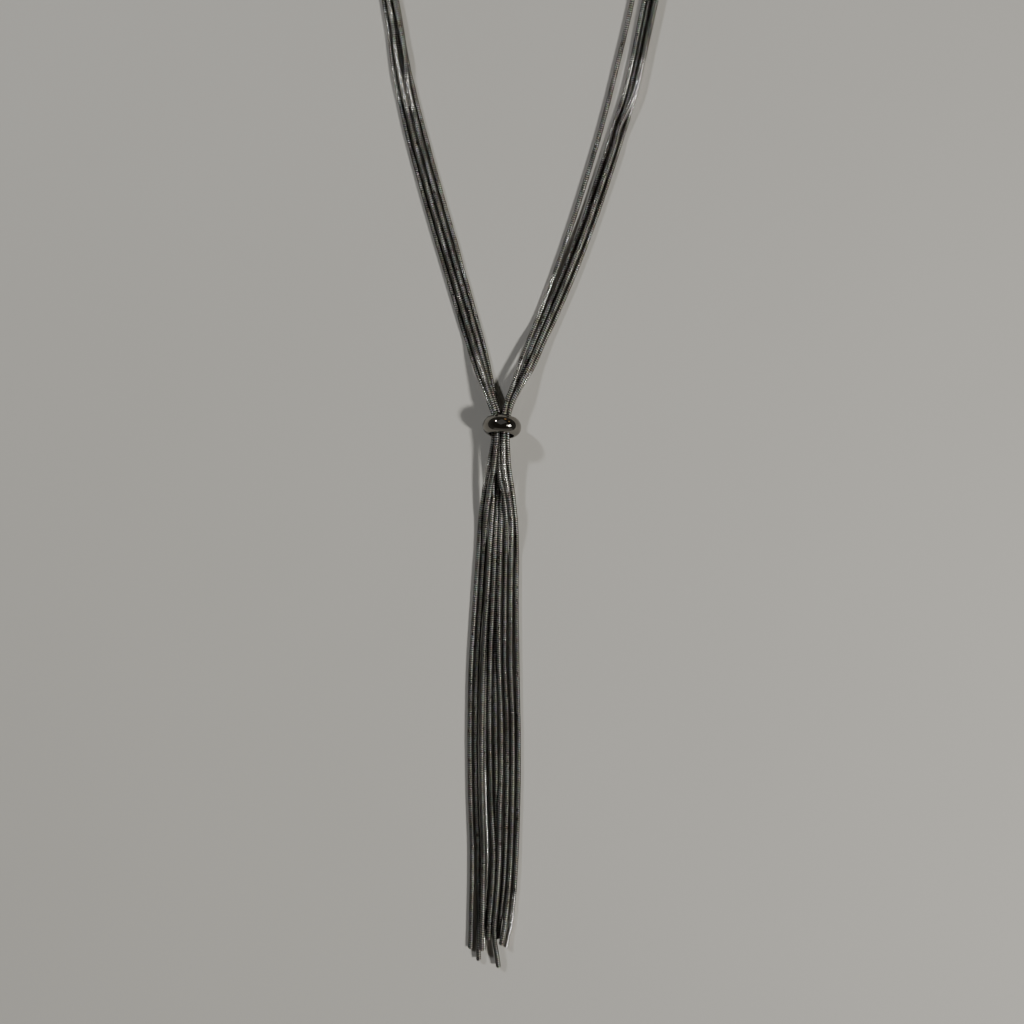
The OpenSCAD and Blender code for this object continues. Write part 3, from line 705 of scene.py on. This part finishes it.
def chain(name, points, roll):
    """The chain that replaces the CAD node of that name."""
    line, length = guide(name + "_line", points)
    count = round(length / (LINK * MM))
    piece = link.copy()
    piece.data = link.data.copy()
    piece.name = name + "_links"
    bpy.context.scene.collection.objects.link(piece)
    only(piece)
    array = piece.modifiers.new("row", "ARRAY")
    array.count = count
    array.use_relative_offset = False
    array.use_constant_offset = True
    array.constant_offset_displace = (length / count, 0, 0)
    array.use_merge_vertices = True
    array.merge_threshold = 0.01 * MM
    bpy.ops.object.modifier_apply(modifier="row")
    close_end(piece, 0.0, 1)
    close_end(piece, length, -1)
    bpy.ops.object.mode_set(mode="EDIT")
    bpy.ops.mesh.select_all(action="SELECT")
    bpy.ops.transform.rotate(value=roll, orient_axis="X", center_override=(0, 0, 0))
    bpy.ops.object.mode_set(mode="OBJECT")
    bend = piece.modifiers.new("bend", "CURVE")
    bend.object = line
    bend.deform_axis = "POS_X"
    bpy.ops.object.modifier_apply(modifier="bend")
    bpy.data.objects.remove(line)
    mark_rubbed_and_glint(piece, RUBBED_AND_GLINT.get(name, []))
    finish_piece(piece, CHAIN_METAL, CHAIN_SMOOTH)
    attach(piece, "root")
    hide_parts(name)
    return piece


names = [f"strand_{side}_{number}" for side in ("left", "right") for number in range(1, 6)]
chains = [chain(names[c], routes[c], ROLL_STEP * c) for c in range(10)]
bpy.data.objects.remove(link)
print("faces a chain:", [len(piece.data.polygons) for piece in chains])

# %% [markdown]
# The slider and the clasp are polished to a mirror and rhodium plated too. Polishing leaves
# hairlines finer than the eye sees at arm's length. They show as a faint haze round each
# highlight, which a roughness of a few hundredths gives, and here and there as a fine wave.

# %% Finish: rhodium plated and mirror polished
# Length of a hairline, and length and height of the swell that polishing leaves, in mm
HAIRLINE = 0.25
SWELL = 1.5
SWELL_HEIGHT = 0.002
# Roughness varies by this much from hairline to hairline
HAZE_RANGE = 0.06


def rhodium_polished(name, tint, haze):
    """Mirror metal of that tint, a little hazed by hairlines and never quite even."""
    material, tree, shader = new_material(name)
    spot = add_node(tree, "ShaderNodeTexCoord").outputs["Object"]
    hairlines = add_node(tree, "ShaderNodeTexNoise", _0=spot, Scale=1 / (HAIRLINE * MM), Detail=4.0)
    rough = remap(tree, hairlines.outputs["Fac"], 0.0, 1.0, haze, haze + HAZE_RANGE)
    tree.links.new(rough, shader.inputs["Roughness"])
    swell = add_node(tree, "ShaderNodeTexNoise", _0=spot, Scale=1 / (SWELL * MM), Detail=1.0)
    bump = add_node(tree, "ShaderNodeBump", Strength=1.0, Distance=SWELL_HEIGHT * MM,
                    Height=swell.outputs["Fac"])
    tree.links.new(bump.outputs["Normal"], shader.inputs["Normal"])
    shader.inputs["Base Color"].default_value = linear(tint)
    shader.inputs["Metallic"].default_value = 1.0
    return material


BEAD_METAL = rhodium_polished("rhodium_plated_slider_mirror_polished", "#85827d", 0.03)
CLASP_METAL = rhodium_polished("rhodium_plated_clasp_polished", "#cac8c3", 0.08)
print("polished metals:", BEAD_METAL.name, "and", CLASP_METAL.name)

# %% [markdown]
# The slider is one turned ring: a round dome outside, a straight bore inside, and a rim that
# is rounded over by polishing. It sits on the chains a little askew, its tassel end raised.

# %% Slider
SLIDER_SIDES = 128
RIM_ROUND = 0.08
DOME_STEPS = 28
# The bore is straight, and has a ring of points this far from each rim, in mm
BORE_RING = 1.0
# Faces of polished metal that meet at less than this, in degrees, shade as one
POLISHED_SMOOTH = 40


def slider_profile():
    """(along, radius) pairs round the section, from one rim over the dome and back by the bore."""
    half = BEAD_LEN / 2
    mid = BEAD_D / 2 - DOME_R
    reach = math.asin((half - RIM_ROUND * 0.5) / DOME_R)
    pairs = []
    for step in range(DOME_STEPS + 1):
        turn = -reach + 2 * reach * step / DOME_STEPS
        pairs.append((DOME_R * math.sin(turn), mid + DOME_R * math.cos(turn)))
    bore = BEAD_BORE / 2
    pairs += [(half, bore + BEAD_RIM * 0.75), (half, bore + RIM_ROUND), (half - RIM_ROUND, bore)]
    pairs += [(half - BORE_RING, bore), (0.0, bore), (BORE_RING - half, bore), (RIM_ROUND - half, bore)]
    pairs += [(-half, bore + RIM_ROUND), (-half, bore + BEAD_RIM * 0.75), pairs[0]]
    return pairs


slider = turned("slider", SLIDER_SIDES, slider_profile())
slider.matrix_world = (
    Matrix.Translation(at(0, 0, BEAD_MID)) @ Matrix.Rotation(BEAD_TURN, 4, "Z")
    @ Matrix.Rotation(-BEAD_LIFT, 4, "X") @ Matrix.Rotation(math.pi / 2, 4, "Z"))
only(slider)
bpy.ops.object.transform_apply(location=True, rotation=True, scale=True)
finish_piece(slider, BEAD_METAL, POLISHED_SMOOTH)
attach(slider, "root")
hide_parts("slider_bead")
print("slider:", len(slider.data.polygons), "faces")

# %% [markdown]
# The clasp lies past the photograph's edge. It is the plain bar of the construction: its long
# edges are rounded full, its end edges are broken, and a slot in each end takes the chains.

# %% Clasp
# A slot has this much room, in mm, round the five chains and past their ends
SLOT_ROOM = 0.4
SLOT_W = 5 * PITCH + SLOT_ROOM
SLOT_H = CHAIN_D + SLOT_ROOM
SLOT_DEEP = CHAIN_IN + 0.5
# The round of the long edges, as a part of the bar's height, and that of the end edges, in mm
LONG_ROUND = 0.46
LONG_STEPS = 12
EDGE_ROUND = 0.3
EDGE_STEPS = 5


def select_faces(piece, wanted):
    """In edit mode: selects the faces whose middle and normal wanted() accepts."""
    bpy.ops.mesh.select_all(action="DESELECT")
    bpy.ops.mesh.select_mode(type="FACE")
    bpy.ops.object.mode_set(mode="OBJECT")
    for face in piece.data.polygons:
        face.select = wanted(face.center / MM, face.normal)
    bpy.ops.object.mode_set(mode="EDIT")


def make_clasp():
    """The bar in its place, with its edges rounded and its slots cut."""
    bpy.ops.object.select_all(action="DESELECT")
    bpy.ops.mesh.primitive_cube_add(size=1.0)
    piece = bpy.context.object
    piece.name = "clasp_bar"
    piece.scale = ((CLASP_LEN - 2 * EDGE_ROUND) * MM, CLASP_W * MM, CLASP_H * MM)
    bpy.ops.object.transform_apply(location=True, rotation=True, scale=True)
    # The four long edges take a round of nearly half the height each
    bpy.ops.object.mode_set(mode="EDIT")
    bpy.ops.mesh.select_mode(type="EDGE")
    bpy.ops.mesh.select_all(action="DESELECT")
    bpy.ops.object.mode_set(mode="OBJECT")
    for edge in piece.data.edges:
        a, b = (piece.data.vertices[i].co for i in edge.vertices)
        edge.select = abs(a.x - b.x) > 0.5 * CLASP_LEN * MM
    bpy.ops.object.mode_set(mode="EDIT")
    bpy.ops.mesh.bevel(offset=LONG_ROUND * CLASP_H * MM, segments=LONG_STEPS, profile=0.5)
    for way in (-1, 1):
        end_x = way * CLASP_LEN / 2
        select_faces(piece, lambda middle, normal: normal.x * way > 0.99)
        # Each step goes on round the broken edge, a part of a quarter circle
        for step in range(EDGE_STEPS):
            before = math.pi / 2 * step / EDGE_STEPS
            after = math.pi / 2 * (step + 1) / EDGE_STEPS
            narrower = EDGE_ROUND * (math.cos(before) - math.cos(after))
            longer = EDGE_ROUND * (math.sin(after) - math.sin(before))
            bpy.ops.mesh.inset(thickness=narrower * MM, depth=longer * MM)
        bpy.ops.mesh.inset(thickness=((CLASP_H - SLOT_H) / 2 - EDGE_ROUND) * MM, depth=0)
        narrow = SLOT_W / (CLASP_W - CLASP_H + SLOT_H)
        bpy.ops.transform.resize(value=(1, narrow, 1), center_override=(end_x * MM, 0, 0))
        push = (-way * SLOT_DEEP * MM, 0, 0)
        bpy.ops.mesh.extrude_region_move(TRANSFORM_OT_translate={"value": push})
    bpy.ops.mesh.select_all(action="SELECT")
    bpy.ops.transform.translate(value=at(CLASP_X, CLASP_Y, CLASP_H / 2))
    bpy.ops.object.mode_set(mode="OBJECT")
    return piece


clasp = make_clasp()
finish_piece(clasp, CLASP_METAL, POLISHED_SMOOTH)
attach(clasp, "root")
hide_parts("clasp")
print("clasp:", len(clasp.data.polygons), "faces")

# %% [markdown]
# The table is plain and pale, with a matt surface. Its grey is a shade warm.

# %% Table
# Sizes in metres of the table and of the faint clouds in its paint
TABLE_SIZE = 3.0
CLOUD = 0.06


def matt_table():
    """Matt warm grey paint, very slightly cloudy."""
    material, tree, shader = new_material("matt_painted_table_rolled")
    spot = add_node(tree, "ShaderNodeTexCoord").outputs["Object"]
    cloud = add_node(tree, "ShaderNodeTexNoise", _0=spot, Scale=1 / CLOUD, Detail=2.0)
    tone = ramp(tree, cloud.outputs["Fac"], (0.0, "#bdbbb5"), (1.0, "#c1bfb9"))
    tree.links.new(tone, shader.inputs["Base Color"])
    shader.inputs["Roughness"].default_value = 0.7
    return material


bpy.ops.object.select_all(action="DESELECT")
bpy.ops.mesh.primitive_plane_add(size=TABLE_SIZE, location=(0, 0, 0))
table_top = bpy.context.object
table_top.name = "table_top"
table_top.data.materials.append(matt_table())
print("table:", table_top.name)

# %% [markdown]
# The shadows and the highlights on the slider say where the light came from. The key light
# stood to the right, half way up, and a second one to the left and farther back, a little
# less than half as strong. Both were small, since their shadows have clear edges. The room
# around was dim. What else the polished slider mirrors is told by dim panels that show only in
# the metal, so that they don't fill the shadows on the table.

# %% Lights
AIM = at(0, -18, 0)


def area_light(name, azimuth, elevation, away, size, watts, hue, roll=0.0, lights_table=True):
    """A flat light, its width and height in metres, aimed at the middle of the picture. With
    lights_table off it shows in the metal and doesn't lift the shadows on the table."""
    data = bpy.data.lights.new(name, "AREA")
    data.shape = "RECTANGLE"
    data.size, data.size_y = size
    data.energy = watts
    data.color = linear(hue)[:3]
    lamp = bpy.data.objects.new(name, data)
    bpy.context.scene.collection.objects.link(lamp)
    a = math.radians(azimuth)
    e = math.radians(elevation)
    toward = Vector((math.cos(a) * math.cos(e), math.sin(a) * math.cos(e), math.sin(e)))
    lamp.location = AIM + toward * away
    facing = (-toward).to_track_quat("-Z", "Y")
    spin = Matrix.Rotation(math.radians(roll), 3, "Z").to_quaternion()
    lamp.rotation_euler = (facing @ spin).to_euler()
    lamp.visible_diffuse = lights_table
    return lamp


def panel(name, azimuth, elevation, away, size, watts, hue, roll=0.0):
    """A light that shows only in the metal."""
    return area_light(name, azimuth, elevation, away, size, watts, hue, roll, lights_table=False)


lamps = [
    area_light("key_light", -21, 46, 1.0, (0.1, 0.1), 8.0, "#fffdf8"),
    area_light("second_light", 135.5, 39.5, 1.0, (0.08, 0.08), 3.4, "#fafcff"),
    # A reflector round the key light, far dimmer than it: it widens the key light's highlight
    panel("key_reflector", -21, 46, 1.05, (0.2, 0.55), 1.5, "#fffdf8", roll=20),
    # Warm room lights far off, only seen as small reflections
    panel("warm_room_light_1", 70, 27, 1.5, (0.22, 0.1), 0.25, "#ffc078"),
    panel("warm_room_light_2", 38, 35, 1.5, (0.14, 0.14), 0.15, "#ffd9a0"),
    # A dim pale wall on the viewer's side and a pale ceiling, both seen in the slider
    panel("pale_wall", -85, 16, 0.9, (1.7, 0.5), 0.5, "#f0eae2"),
    panel("pale_ceiling", 100, 68, 1.0, (0.95, 0.85), 0.45, "#e8ebf0", roll=30),
]
# The room's walls are dim and warm, and it is a little darker overhead, where the camera hangs
ROOM_LIGHT = 0.5
world = bpy.data.worlds.new("dark_room")
bpy.context.scene.world = world
world.use_nodes = True
sky = world.node_tree
way_out = add_node(sky, "ShaderNodeTexCoord")
height = add_node(sky, "ShaderNodeSeparateXYZ", _0=way_out.outputs["Generated"])
room = ramp(sky, height.outputs["Z"], (0.15, "#6f6d68"), (0.6, "#4e4a43"))
sky.links.new(room, sky.nodes["Background"].inputs["Color"])
sky.nodes["Background"].inputs["Strength"].default_value = ROOM_LIGHT
print("lights:", [lamp.name for lamp in lamps])
